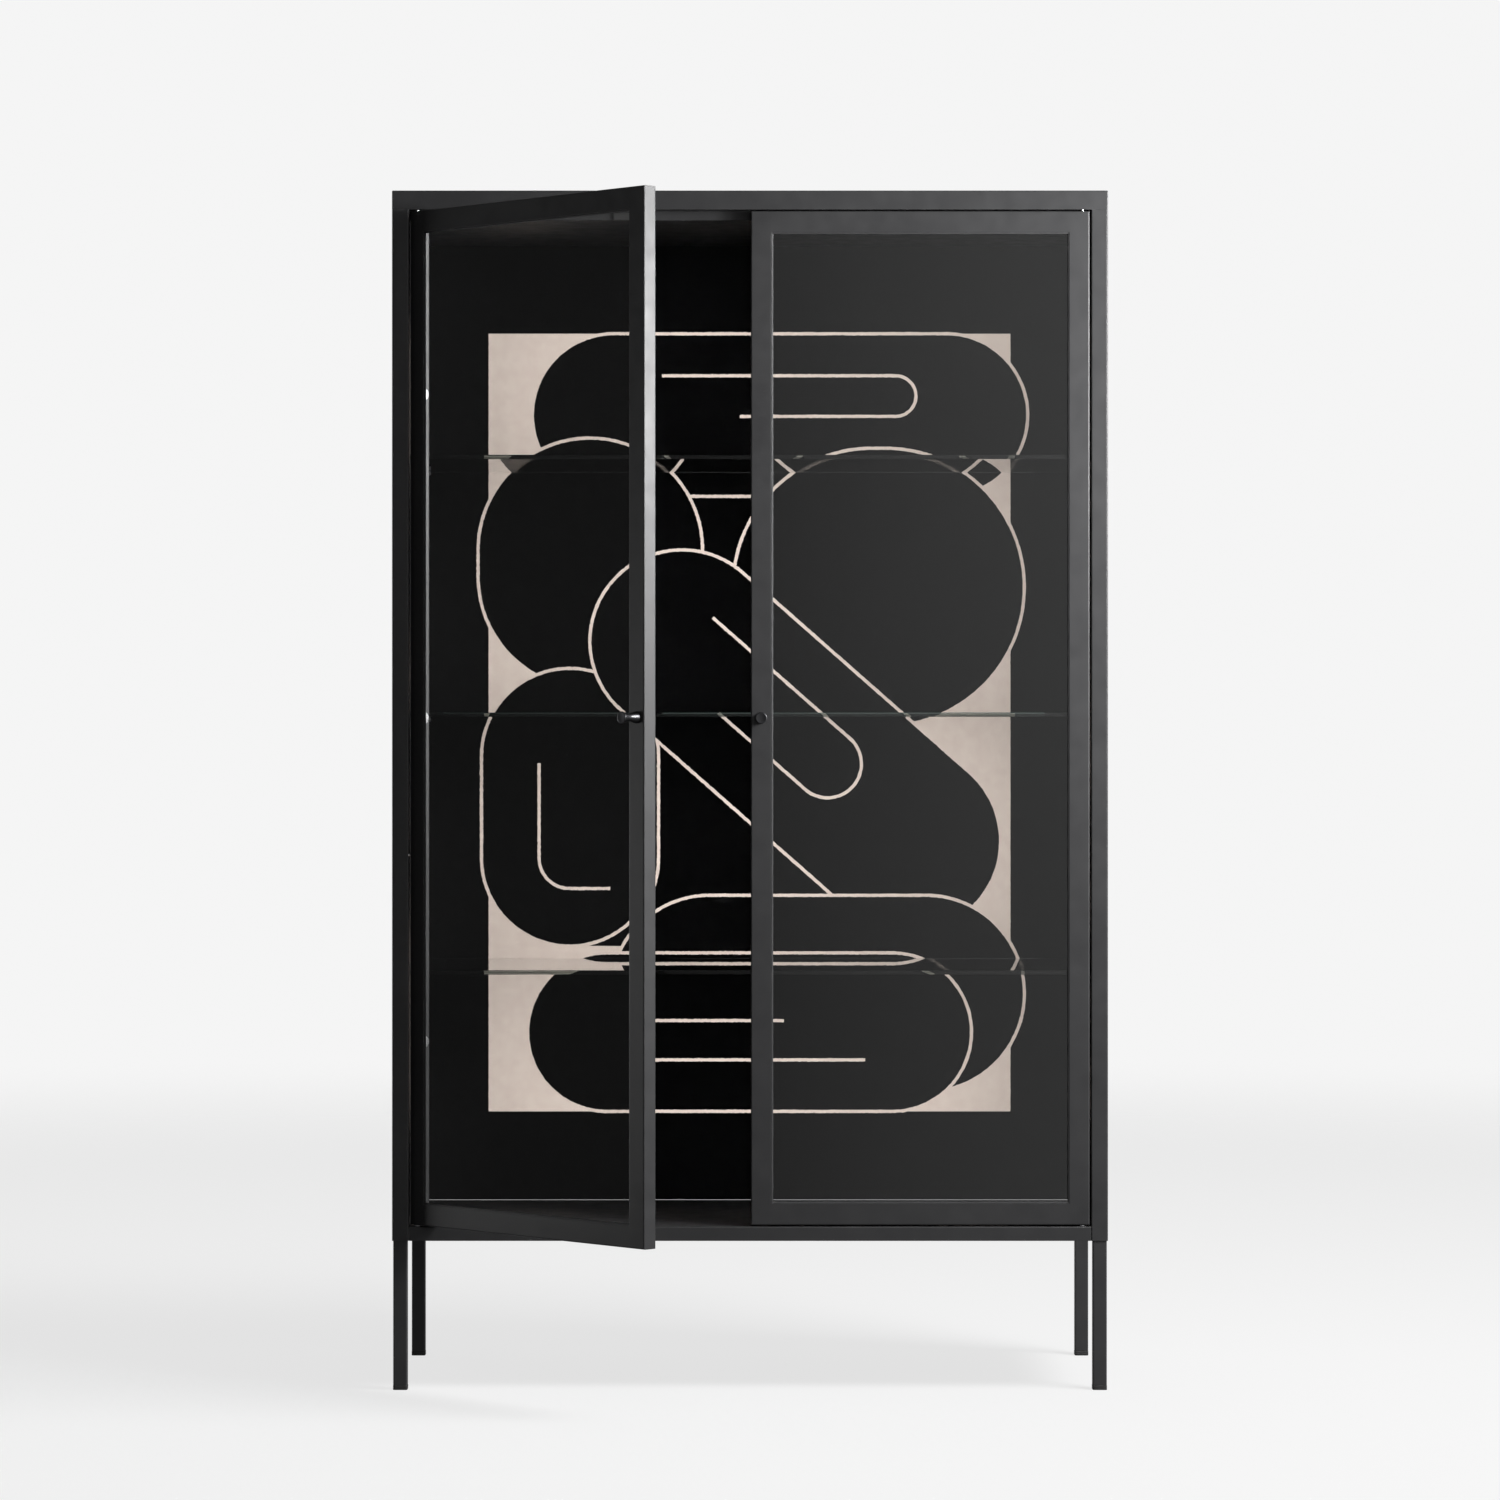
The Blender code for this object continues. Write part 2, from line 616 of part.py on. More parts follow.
def make_glass_buttons(side, hand, finishes, pivot, centre):
    """Round buttons on the inner side of the hinge stile, which keep the glass central."""
    profile = [
        (0.0, BUTTON_THICKNESS),
        (BUTTON_RADIUS - BUTTON_EDGE, BUTTON_THICKNESS),
        (BUTTON_RADIUS, BUTTON_THICKNESS - BUTTON_EDGE),
        (BUTTON_RADIUS, 0.0),
        (0.0, 0.0),
    ]
    face_x = centre[0] + hand * (DOOR_WIDTH / 2 - DOOR_BOX - SEAM)
    depth = centre[1] + SEAL_DEPTH + BUTTON_RADIUS
    opening = DOOR_HEIGHT - 2 * RAIL_FACE
    for index in range(BUTTONS_PER_DOOR):
        share = (index + 0.5) / BUTTONS_PER_DOOR
        height = DOOR_BOTTOM + RAIL_FACE + share * opening
        turned(f"{side}_glass_button_{index + 1}", profile, finishes["steel"], pivot,
               (face_x, depth, height), (0.0, -hand * math.pi / 2, 0.0))


def make_knob(side, finishes, pivot, front_y, knob_x):
    """A knob with a narrow waist, held by a screw from behind the door."""
    hole = KNOB_SCREW_RADIUS + SEAM
    hole_depth = KNOB_SCREW_REACH + 2 * SEAM
    profile = [
        (0.0, KNOB_LENGTH),
        (KNOB_END_RADIUS - KNOB_EDGE, KNOB_LENGTH),
    ]
    for step in range(KNOB_STEPS + 1):
        # from +1 at the outer end, through 0 at the waist, to -1 at the base
        place = 1.0 - 2.0 * step / KNOB_STEPS
        flare = (KNOB_END_RADIUS - KNOB_WAIST_RADIUS) * abs(place) ** KNOB_FLARE
        height = KNOB_LENGTH / 2 + place * (KNOB_LENGTH / 2 - KNOB_EDGE)
        profile.append((KNOB_WAIST_RADIUS + flare, height))
    profile += [
        (KNOB_END_RADIUS - KNOB_EDGE, 0.0),
        (hole, 0.0),
        (hole, hole_depth),
        (0.0, hole_depth),
    ]
    turned(side + "_knob", profile, finishes["dark_metal"], pivot,
           (knob_x, front_y - SEAM, KNOB_Z), ALONG_Y)
    shank = DOOR_THICKNESS + 2 * SEAM + KNOB_SCREW_REACH
    screw = [
        (0.0, shank),
        (KNOB_SCREW_RADIUS, shank),
        (KNOB_SCREW_RADIUS, 0.0),
        (KNOB_SCREW_HEAD_RADIUS, 0.0),
        (KNOB_SCREW_HEAD_RADIUS, -KNOB_SCREW_HEAD),
        (0.0, -KNOB_SCREW_HEAD),
    ]
    turned(side + "_knob_screw", screw, finishes["steel"], pivot,
           (knob_x, front_y + DOOR_THICKNESS + SEAM, KNOB_Z), ALONG_Y)


def make_bushes(side, finishes, pivot):
    """Plain sleeves in the top and bottom edges of the door, for the pivot pins."""
    bore_radius = PIVOT_RADIUS + SEAM
    profile = [
        (bore_radius, 0.0),
        (BUSH_RADIUS, 0.0),
        (BUSH_RADIUS, -BUSH_LENGTH),
        (bore_radius, -BUSH_LENGTH),
    ]
    turned(side + "_top_bush", profile, finishes["nylon"], pivot,
           (0.0, 0.0, DOOR_TOP), hollow=True)
    turned(side + "_bottom_bush", profile, finishes["nylon"], pivot,
           (0.0, 0.0, DOOR_BOTTOM), UPSIDE_DOWN, hollow=True)


def make_door(side, hand, open_deg, finishes, root):
    """A door in its pivot's own frame: shut, it runs from the pivot towards the middle."""
    pivot = bpy.data.objects.new(side + "_door_pivot", None)
    pivot.location = (hand * PIVOT_X, PIVOT_DEPTH, 0.0)
    pivot.rotation_euler = (0.0, 0.0, hand * math.radians(open_deg))
    pivot.parent = root
    PARTS.objects.link(pivot)
    front_y = -PIVOT_DEPTH
    centre_x = -hand * (DOOR_WIDTH / 2 - PIVOT_INSET)
    centre = (centre_x, front_y, DOOR_BOTTOM + DOOR_HEIGHT / 2)
    knob_x = -hand * (DOOR_WIDTH - PIVOT_INSET - KNOB_INSET)
    make_door_frame(side, finishes, pivot, centre, knob_x)
    make_door_glass(side, finishes, pivot, centre)
    make_door_seal(side, finishes, pivot, centre)
    make_glass_buttons(side, hand, finishes, pivot, centre)
    make_knob(side, finishes, pivot, front_y, knob_x)
    make_bushes(side, finishes, pivot)


# ---- Assembly ----

def centre_on_floor(root):
    """Moves the whole cabinet so that its footprint, open door included, is centred on the origin."""
    bpy.context.view_layer.update()
    graph = bpy.context.evaluated_depsgraph_get()
    depths = []
    for item in PARTS.objects:
        if item.type == "MESH":
            shape = item.evaluated_get(graph)
            depths.extend((item.matrix_world @ vert.co).y for vert in shape.data.vertices)
    root.location.y = -(min(depths) + max(depths)) / 2


for old in list(bpy.data.objects):
    bpy.data.objects.remove(old, do_unlink=True)

PARTS = bpy.data.collections.new("display_cabinet")
CUTTERS = bpy.data.collections.new("cutters")
bpy.context.scene.collection.children.link(PARTS)
bpy.context.scene.collection.children.link(CUTTERS)


def main():
    finishes = make_finishes()
    root = bpy.data.objects.new("cabinet_root", None)
    PARTS.objects.link(root)
    make_top_panel(finishes, root)
    make_ceiling(finishes, root)
    make_bottom(finishes, root)
    make_back_panel(finishes, root)
    make_legs(finishes, root)
    make_shelves(finishes, root)
    for side, hand in HANDS:
        make_side_panel(side, hand, finishes, root)
        make_side_liner(side, hand, finishes, root)
        make_shelf_pins(side, hand, finishes, root)
        make_pivots(side, hand, finishes, root)
        make_catch(side, hand, finishes, root)
        make_door(side, hand, OPEN_DEG[side], finishes, root)
    centre_on_floor(root)


main()
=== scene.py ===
import json
import math

import bmesh
import bpy
import numpy as np
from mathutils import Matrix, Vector

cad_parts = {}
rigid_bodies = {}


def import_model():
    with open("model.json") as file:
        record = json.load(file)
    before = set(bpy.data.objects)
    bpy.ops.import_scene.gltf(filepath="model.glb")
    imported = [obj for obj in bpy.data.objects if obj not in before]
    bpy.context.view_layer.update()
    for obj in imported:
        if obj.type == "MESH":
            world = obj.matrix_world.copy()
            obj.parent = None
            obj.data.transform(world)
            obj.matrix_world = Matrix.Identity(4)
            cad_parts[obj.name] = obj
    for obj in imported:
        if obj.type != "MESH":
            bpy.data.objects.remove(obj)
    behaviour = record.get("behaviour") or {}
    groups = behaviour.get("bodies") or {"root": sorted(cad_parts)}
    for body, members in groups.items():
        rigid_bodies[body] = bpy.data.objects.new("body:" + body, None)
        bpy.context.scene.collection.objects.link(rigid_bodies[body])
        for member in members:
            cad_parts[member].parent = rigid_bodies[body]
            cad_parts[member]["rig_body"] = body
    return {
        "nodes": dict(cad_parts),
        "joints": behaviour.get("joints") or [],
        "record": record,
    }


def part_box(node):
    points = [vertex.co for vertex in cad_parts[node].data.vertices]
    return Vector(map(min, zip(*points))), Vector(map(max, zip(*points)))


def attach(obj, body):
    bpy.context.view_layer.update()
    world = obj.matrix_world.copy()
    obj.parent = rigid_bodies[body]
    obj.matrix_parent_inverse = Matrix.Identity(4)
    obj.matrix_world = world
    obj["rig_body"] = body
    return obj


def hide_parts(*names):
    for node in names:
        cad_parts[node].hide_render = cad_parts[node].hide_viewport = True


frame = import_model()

# Display cabinet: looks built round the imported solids. Metres, +Z up, the doors face -Y.
nodes = frame["nodes"]
for spare in [o for o in bpy.data.objects if "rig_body" not in o and not o.name.startswith("body:")]:
    bpy.data.objects.remove(spare, do_unlink=True)
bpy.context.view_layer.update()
joints = {joint["name"]: joint for joint in frame["joints"]}
print("frame loaded,", len(nodes), "solids")


view = {"distance": 6.84, "height": 0.922, "lens": 117.55, "sensor": 36.0, "shiftY": -0.01333}


def makeCamera():
    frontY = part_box("top_panel")[0].y
    data = bpy.data.cameras.new("camera")
    data.lens = view["lens"]
    data.sensor_width = view["sensor"]
    data.shift_y = view["shiftY"]
    data.clip_end = 200.0
    camera = bpy.data.objects.new("camera", data)
    camera.location = (0.0, frontY - view["distance"], view["height"])
    camera.rotation_euler = (math.pi / 2, 0.0, 0.0)
    bpy.context.scene.collection.objects.link(camera)
    bpy.context.scene.camera = camera


rangeLimits = ("From Min", "From Max", "To Min", "To Max")     # of a Map Range node

studio = {
    "white": 0.912,           # the room as it is seen, also through glass
    "ambient": 0.22,          # the room as it lights and shines on the cabinet
    "floorGlow": 0.735,
    "floorColor": 0.185,
    "bayGlow": 2.3,           # the panels that light the drawing
    "floorNear": -2.4,        # the floor fades out between here and nearFade, in front
    "nearFade": -1.3,
    "floorReach": 7.0,
    "reachFade": 3.5,
}

softboxes = [
    # name, place, aimed at, width, height, watts, and False where it is not mirrored
    ("keyLight", (1.25, -0.75, 1.52), (0.0, 0.0, 1.1), 0.3, 0.5, 41.0),
    ("sideLight", (2.20, -0.60, 1.60), (0.0, 0.0, 1.1), 0.4, 0.5, 41.0),
    ("frontLight", (2.40, -2.20, 1.70), (0.0, 0.0, 1.1), 0.5, 0.7, 45.0),
    ("leftLight", (-3.00, 1.30, 0.55), (-0.3, 0.0, 0.6), 1.2, 0.8, 27.0),
    ("backLight", (-1.20, 4.20, 2.60), (0.0, 0.3, 0.8), 2.6, 2.2, 330.0, False),
]
topLight = ("topLight", (2.00, -1.10, 4.40), (-0.3, 0.2, 0.0), 1.6, 1.6, 190.0)

# what the doors and the paint mirror: darkest left of the camera, brighter to its right and above
cards = {
    "frontY": -9.5, "frontHalf": 14.0, "frontLow": -6.0, "frontHigh": 9.0,
    "frontGlow": {"dark": 0.01, "bright": 0.68, "lowX": -1.6, "highX": 1.9, "lift": 0.68},
    "leftX": -4.5, "leftBack": 1.5, "leftLow": -5.0, "leftHigh": 7.0,
    "leftGlow": {"dark": 0.05, "bright": 0.07, "lowX": -10.0, "highX": 10.0, "lift": 0.8},
    "growLow": -0.6, "growHigh": 3.2,
}


# One for a ray that has met nothing but glass, so that mirrored and scattered light is set by itself.
def seenDirectly(tree):
    path = tree.nodes.new("ShaderNodeLightPath")
    bounces = tree.nodes.new("ShaderNodeMath")
    straight = tree.nodes.new("ShaderNodeMath")
    straight.operation = "LESS_THAN"
    straight.inputs[1].default_value = 0.5
    through = tree.nodes.new("ShaderNodeMath")
    through.operation = "MULTIPLY"
    seen = tree.nodes.new("ShaderNodeMath")
    seen.operation = "MAXIMUM"
    tree.links.new(path.outputs["Glossy Depth"], bounces.inputs[0])
    tree.links.new(path.outputs["Diffuse Depth"], bounces.inputs[1])
    tree.links.new(bounces.outputs[0], straight.inputs[0])
    tree.links.new(straight.outputs[0], through.inputs[0])
    tree.links.new(path.outputs["Is Transmission Ray"], through.inputs[1])
    tree.links.new(through.outputs[0], seen.inputs[0])
    tree.links.new(path.outputs["Is Camera Ray"], seen.inputs[1])
    return seen.outputs[0]


def makeLight(name, place, target, width, height, watts, mirrored=True):
    data = bpy.data.lights.new(name, "AREA")
    data.shape = "RECTANGLE"
    data.size = width
    data.size_y = height
    data.energy = watts
    light = bpy.data.objects.new(name, data)
    light.location = place
    light.rotation_euler = (Vector(target) - Vector(place)).to_track_quat("-Z", "Y").to_euler()
    light.visible_camera = False
    light.visible_transmission = False
    light.visible_glossy = mirrored
    bpy.context.scene.collection.objects.link(light)
    return light


# The light falls only on the given object, or on everything but it.
def linkLight(light, thing, state):
    group = bpy.data.collections.new(light.name + "Reach")
    group.objects.link(thing)
    group.collection_objects[0].light_linking.link_state = state
    light.light_linking.receiver_collection = group


def flatCard(name, corners, material):
    mesh = bpy.data.meshes.new(name)
    mesh.from_pydata(corners, [], [(0, 1, 2, 3)])
    mesh.materials.append(material)
    card = bpy.data.objects.new(name, mesh)
    bpy.context.scene.collection.objects.link(card)
    return card


# Light that grows from left to right, times a second growth from the floor upwards.
def cardGlow(name, dark, bright, lowX, highX, lift):
    material = bpy.data.materials.new(name)
    material.use_nodes = True
    tree = material.node_tree
    tree.nodes.clear()
    out = tree.nodes.new("ShaderNodeOutputMaterial")
    glow = tree.nodes.new("ShaderNodeEmission")
    place = tree.nodes.new("ShaderNodeTexCoord")
    parts = tree.nodes.new("ShaderNodeSeparateXYZ")
    across = tree.nodes.new("ShaderNodeMapRange")
    up = tree.nodes.new("ShaderNodeMapRange")
    across.interpolation_type = up.interpolation_type = "SMOOTHSTEP"
    for socket, value in zip(rangeLimits, (lowX, highX, dark, bright)):
        across.inputs[socket].default_value = value
    for socket, value in zip(rangeLimits, (cards["growLow"], cards["growHigh"], lift, 1.0)):
        up.inputs[socket].default_value = value
    product = tree.nodes.new("ShaderNodeMath")
    product.operation = "MULTIPLY"
    tree.links.new(place.outputs["Object"], parts.inputs[0])
    tree.links.new(parts.outputs["X"], across.inputs["Value"])
    tree.links.new(parts.outputs["Z"], up.inputs["Value"])
    tree.links.new(across.outputs[0], product.inputs[0])
    tree.links.new(up.outputs[0], product.inputs[1])
    tree.links.new(product.outputs[0], glow.inputs["Strength"])
    clear = tree.nodes.new("ShaderNodeBsdfTransparent")
    mix = tree.nodes.new("ShaderNodeMixShader")
    tree.links.new(seenDirectly(tree), mix.inputs[0])
    tree.links.new(glow.outputs[0], mix.inputs[1])
    tree.links.new(clear.outputs[0], mix.inputs[2])
    tree.links.new(mix.outputs[0], out.inputs["Surface"])
    return material


# Pale paper that fades into the white room at its edges.
def floorFinish():
    material = bpy.data.materials.new("paleFloor")
    material.use_nodes = True
    tree = material.node_tree
    tree.nodes.clear()
    out = tree.nodes.new("ShaderNodeOutputMaterial")
    paper = tree.nodes.new("ShaderNodeBsdfPrincipled")
    paper.inputs["Base Color"].default_value = (*[studio["floorColor"]] * 3, 1.0)
    paper.inputs["Roughness"].default_value = 0.9
    paper.inputs["Specular IOR Level"].default_value = 0.0
    paper.inputs["Emission Color"].default_value = (1.0, 1.0, 1.0, 1.0)
    paper.inputs["Emission Strength"].default_value = studio["floorGlow"]
    clear = tree.nodes.new("ShaderNodeBsdfTransparent")
    mix = tree.nodes.new("ShaderNodeMixShader")
    place = tree.nodes.new("ShaderNodeTexCoord")
    parts = tree.nodes.new("ShaderNodeSeparateXYZ")
    length = tree.nodes.new("ShaderNodeVectorMath")
    length.operation = "LENGTH"
    near = tree.nodes.new("ShaderNodeMapRange")
    near.interpolation_type = "SMOOTHSTEP"
    near.inputs["From Min"].default_value = studio["floorNear"]
    near.inputs["From Max"].default_value = studio["nearFade"]
    far = tree.nodes.new("ShaderNodeMapRange")
    far.interpolation_type = "SMOOTHSTEP"
    far.inputs["From Min"].default_value = studio["floorReach"]
    far.inputs["From Max"].default_value = studio["reachFade"]
    both = tree.nodes.new("ShaderNodeMath")
    both.operation = "MULTIPLY"
    tree.links.new(place.outputs["Object"], parts.inputs[0])
    tree.links.new(place.outputs["Object"], length.inputs[0])
    tree.links.new(parts.outputs["Y"], near.inputs["Value"])
    tree.links.new(length.outputs["Value"], far.inputs["Value"])
    tree.links.new(near.outputs[0], both.inputs[0])
    tree.links.new(far.outputs[0], both.inputs[1])
    shown = tree.nodes.new("ShaderNodeMath")
    shown.operation = "MULTIPLY"
    tree.links.new(both.outputs[0], shown.inputs[0])
    tree.links.new(seenDirectly(tree), shown.inputs[1])
    tree.links.new(shown.outputs[0], mix.inputs[0])
    tree.links.new(clear.outputs[0], mix.inputs[1])
    tree.links.new(paper.outputs[0], mix.inputs[2])
    tree.links.new(mix.outputs[0], out.inputs["Surface"])
    return material


# A white room to look at that gives less light than it shows, so that dark paint keeps its depth.
def makeRoom():
    world = bpy.data.worlds.new("whiteRoom")
    world.use_nodes = True
    tree = world.node_tree
    background = tree.nodes["Background"]
    background.inputs["Color"].default_value = (1.0, 1.0, 1.0, 1.0)
    strength = tree.nodes.new("ShaderNodeMapRange")
    strength.inputs["To Min"].default_value = studio["ambient"]
    strength.inputs["To Max"].default_value = studio["white"]
    tree.links.new(seenDirectly(tree), strength.inputs["Value"])
    tree.links.new(strength.outputs[0], background.inputs["Strength"])
    bpy.context.scene.world = world
    bpy.context.scene.view_settings.view_transform = "Standard"


def makeStudio():
    makeRoom()
    reach = studio["floorReach"]
    corners = [(-reach, -reach, 0), (reach, -reach, 0), (reach, reach, 0), (-reach, reach, 0)]
    floor = flatCard("floor", corners, floorFinish())
    half, y, low, high = cards["frontHalf"], cards["frontY"], cards["frontLow"], cards["frontHigh"]
    flatCard("frontCard", [(-half, y, low), (half, y, low), (half, y, high), (-half, y, high)],
             cardGlow("frontGlow", **cards["frontGlow"]))
    x, back, low, high = cards["leftX"], cards["leftBack"], cards["leftLow"], cards["leftHigh"]
    flatCard("leftFlag", [(x, y, low), (x, back, low), (x, back, high), (x, y, high)],
             cardGlow("flagGlow", **cards["leftGlow"]))
    # the floor keeps one even light and one soft shadow
    for box in softboxes:
        linkLight(makeLight(*box), floor, "EXCLUDE")
    linkLight(makeLight(*topLight), floor, "INCLUDE")


makeCamera()
makeStudio()
print("camera and studio ready")


# A new material with its fixed values on the shader's own sockets.
def shaderOf(name, look):
    material = bpy.data.materials.new(name)
    material.use_nodes = True
    shader = material.node_tree.nodes["Principled BSDF"]
    for socket, value in look.items():
        shader.inputs[socket].default_value = value
    return material, material.node_tree, shader


def addNoise(tree, scale, detail=3.0, stretch=None):
    place = tree.nodes.new("ShaderNodeTexCoord")
    noise = tree.nodes.new("ShaderNodeTexNoise")
    noise.inputs["Scale"].default_value = scale
    noise.inputs["Detail"].default_value = detail
    source = place.outputs["Object"]
    if stretch:
        mapping = tree.nodes.new("ShaderNodeMapping")
        mapping.inputs["Scale"].default_value = stretch
        tree.links.new(source, mapping.inputs["Vector"])
        source = mapping.outputs["Vector"]
    tree.links.new(source, noise.inputs["Vector"])
    return noise.outputs["Fac"]


def remap(tree, source, fromLow, fromHigh, toLow, toHigh):
    node = tree.nodes.new("ShaderNodeMapRange")
    for socket, value in zip(rangeLimits, (fromLow, fromHigh, toLow, toHigh)):
        node.inputs[socket].default_value = value
    tree.links.new(source, node.inputs["Value"])
    return node.outputs[0]


def mixColors(tree, amount, first, second):
    node = tree.nodes.new("ShaderNodeMix")
    node.data_type = "RGBA"
    tree.links.new(amount, node.inputs["Factor"])
    for socket, color in (("A", first), ("B", second)):
        target = [s for s in node.inputs if s.name == socket and s.type == "RGBA"][0]
        if isinstance(color, tuple):
            target.default_value = (*color, 1.0)
        else:
            tree.links.new(color, target)
    return [s for s in node.outputs if s.type == "RGBA"][0]


def addBump(tree, shader, height, distance, strength=1.0, normal=None):
    node = tree.nodes.new("ShaderNodeBump")
    node.inputs["Distance"].default_value = distance
    node.inputs["Strength"].default_value = strength
    tree.links.new(height, node.inputs["Height"])
    if normal is not None:
        tree.links.new(normal, node.inputs["Normal"])
    tree.links.new(node.outputs["Normal"], shader.inputs["Normal"])


paint = {
    "color": (0.021, 0.021, 0.022),
    "shade": (0.017, 0.017, 0.018),
    # painted highlight: the lighter colour laid along the edges
    "edgeHighlight": (0.075, 0.075, 0.077),
    "grain": 1500.0,          # grains of the powder per metre
    "grainHeight": 0.00003,
    "edgeRadius": 0.0008,
    "edgeFacing": (0.999, 0.88),      # where the softened normal leaves the face's own: no painted highlight, full painted highlight
    "highlightAmount": (0.15, 0.9),
    "roughness": (0.40, 0.50),
}
noiseBand = (0.3, 0.7)        # the range that a noise fills in the main


def powderCoat():
    material, tree, shader = shaderOf("bodyPaint", {"Specular IOR Level": 0.5})
    soft = tree.nodes.new("ShaderNodeBevel")
    soft.samples = 4
    soft.inputs["Radius"].default_value = paint["edgeRadius"]
    surface = tree.nodes.new("ShaderNodeNewGeometry")
    facing = tree.nodes.new("ShaderNodeVectorMath")
    facing.operation = "DOT_PRODUCT"
    tree.links.new(soft.outputs["Normal"], facing.inputs[0])
    tree.links.new(surface.outputs["Normal"], facing.inputs[1])
    edge = remap(tree, facing.outputs["Value"], *paint["edgeFacing"], 0.0, 1.0)
    clouds = addNoise(tree, 9.0, 4.0)
    base = mixColors(tree, remap(tree, clouds, 0.35, 0.65, 0.0, 1.0), paint["color"], paint["shade"])
    # painted highlight: the edges are painted lighter, in patches, where the softened normal turns from the
    # face's own
    paintedHighlight = tree.nodes.new("ShaderNodeMath")
    paintedHighlight.operation = "MULTIPLY"
    tree.links.new(edge, paintedHighlight.inputs[0])
    patches = remap(tree, addNoise(tree, 160.0, 5.0), 0.40, 0.62, *paint["highlightAmount"])
    tree.links.new(patches, paintedHighlight.inputs[1])
    tree.links.new(mixColors(tree, paintedHighlight.outputs[0], base, paint["edgeHighlight"]), shader.inputs["Base Color"])
    gloss = remap(tree, addNoise(tree, 38.0, 3.0), *noiseBand, *paint["roughness"])
    tree.links.new(gloss, shader.inputs["Roughness"])
    powder = addNoise(tree, paint["grain"], 2.0)
    addBump(tree, shader, powder, paint["grainHeight"], 0.6, soft.outputs["Normal"])
    return material


lacquer = {
    "dark": (0.0022, 0.0022, 0.0024), "light": (0.0042, 0.0042, 0.0046),
    "roughness": (0.62, 0.78), "grain": 900.0, "grainHeight": 0.00003,
}


def backLacquer():
    material, tree, shader = shaderOf("backPaint", {"Specular IOR Level": 0.12})
    shade = mixColors(tree, addNoise(tree, 14.0, 5.0), lacquer["dark"], lacquer["light"])
    tree.links.new(shade, shader.inputs["Base Color"])
    gloss = remap(tree, addNoise(tree, 60.0), *noiseBand, *lacquer["roughness"])
    tree.links.new(gloss, shader.inputs["Roughness"])
    addBump(tree, shader, addNoise(tree, lacquer["grain"], 2.0), lacquer["grainHeight"], 0.5)
    return material


blush = {
    "color": (0.82, 0.70, 0.62), "shade": (0.77, 0.64, 0.57), "speck": (0.52, 0.42, 0.37),
    "roughness": (0.65, 0.85), "grain": 1800.0, "grainHeight": 0.00004,
}


def blushInk():
    material, tree, shader = shaderOf("printInk", {"Specular IOR Level": 0.15})
    clouds = remap(tree, addNoise(tree, 55.0, 6.0), 0.35, 0.65, 0.0, 1.0)
    patches = mixColors(tree, clouds, blush["color"], blush["shade"])
    specks = remap(tree, addNoise(tree, 1300.0, 2.0), 0.60, 0.72, 0.0, 0.45)
    tree.links.new(mixColors(tree, specks, patches, blush["speck"]), shader.inputs["Base Color"])
    gloss = remap(tree, addNoise(tree, 400.0), *noiseBand, *blush["roughness"])
    tree.links.new(gloss, shader.inputs["Roughness"])
    addBump(tree, shader, addNoise(tree, blush["grain"], 3.0), blush["grainHeight"], 0.6)
    return material


glass = {"clean": (0.988, 0.992, 0.988), "wiped": (0.955, 0.965, 0.96)}


# Float glass with faint wiping marks; the sheet's own green shows where it is seen edge on.
def clearGlass(name, tint, density):
    material, tree, shader = shaderOf(name, {"Roughness": 0.0, "IOR": 1.5, "Transmission Weight": 1.0})
    marks = remap(tree, addNoise(tree, 5.0, 6.0, (1.0, 1.0, 0.35)), 0.45, 0.75, 0.0, 1.0)
    tree.links.new(mixColors(tree, marks, glass["clean"], glass["wiped"]), shader.inputs["Base Color"])
    body = tree.nodes.new("ShaderNodeVolumeAbsorption")
    body.inputs["Color"].default_value = (*tint, 1.0)
    body.inputs["Density"].default_value = density
    tree.links.new(body.outputs[0], tree.nodes["Material Output"].inputs["Volume"])
    return material


# Turned or brushed metal: fine streaks set the roughness and a slight bump.
def metal(name, color, low, high, brush, height):
    material, tree, shader = shaderOf(name, {"Metallic": 1.0})
    streaks = addNoise(tree, brush, 4.0, (1.0, 0.12, 1.0))
    darker = tuple(0.72 * part for part in color)
    shade = mixColors(tree, remap(tree, streaks, *noiseBand, 0.0, 1.0), color, darker)
    tree.links.new(shade, shader.inputs["Base Color"])
    tree.links.new(remap(tree, streaks, *noiseBand, low, high), shader.inputs["Roughness"])
    addBump(tree, shader, streaks, height, 0.5)
    return material


def moulded(name, color, low, high, grain, height):
    material, tree, shader = shaderOf(name, {"Specular IOR Level": 0.45})
    lighter = tuple(1.35 * part for part in color)
    tree.links.new(mixColors(tree, addNoise(tree, 120.0, 4.0), color, lighter), shader.inputs["Base Color"])
    tree.links.new(remap(tree, addNoise(tree, 240.0), *noiseBand, low, high), shader.inputs["Roughness"])
    addBump(tree, shader, addNoise(tree, grain, 2.0), height, 0.6)
    return material


def makeFinishes():
    return {
        "body_paint": powderCoat(),
        "back_paint": backLacquer(),
        "print_ink": blushInk(),
        "door_glass": clearGlass("doorGlass", (0.90, 0.95, 0.93), 3.0),
        "shelf_glass": clearGlass("shelfGlass", (0.80, 0.87, 0.85), 6.0),
        "seal_rubber": moulded("sealRubber", (0.022, 0.022, 0.023), 0.45, 0.62, 1600.0, 0.00003),
        "button_steel": metal("buttonSteel", (0.72, 0.72, 0.73), 0.22, 0.38, 900.0, 0.00001),
        "pin_steel": metal("pinSteel", (0.60, 0.60, 0.61), 0.25, 0.42, 1200.0, 0.00001),
        "knob_metal": metal("knobMetal", (0.085, 0.085, 0.090), 0.26, 0.38, 1400.0, 0.00001),
        "foot_plastic": moulded("footPlastic", (0.013, 0.013, 0.013), 0.48, 0.64, 1900.0, 0.00004),
        "catch_plastic": moulded("catchPlastic", (0.016, 0.016, 0.016), 0.45, 0.60, 1700.0, 0.00003),
        "bearing_nylon": moulded("bearingNylon", (0.30, 0.30, 0.31), 0.42, 0.55, 1500.0, 0.00002),
    }


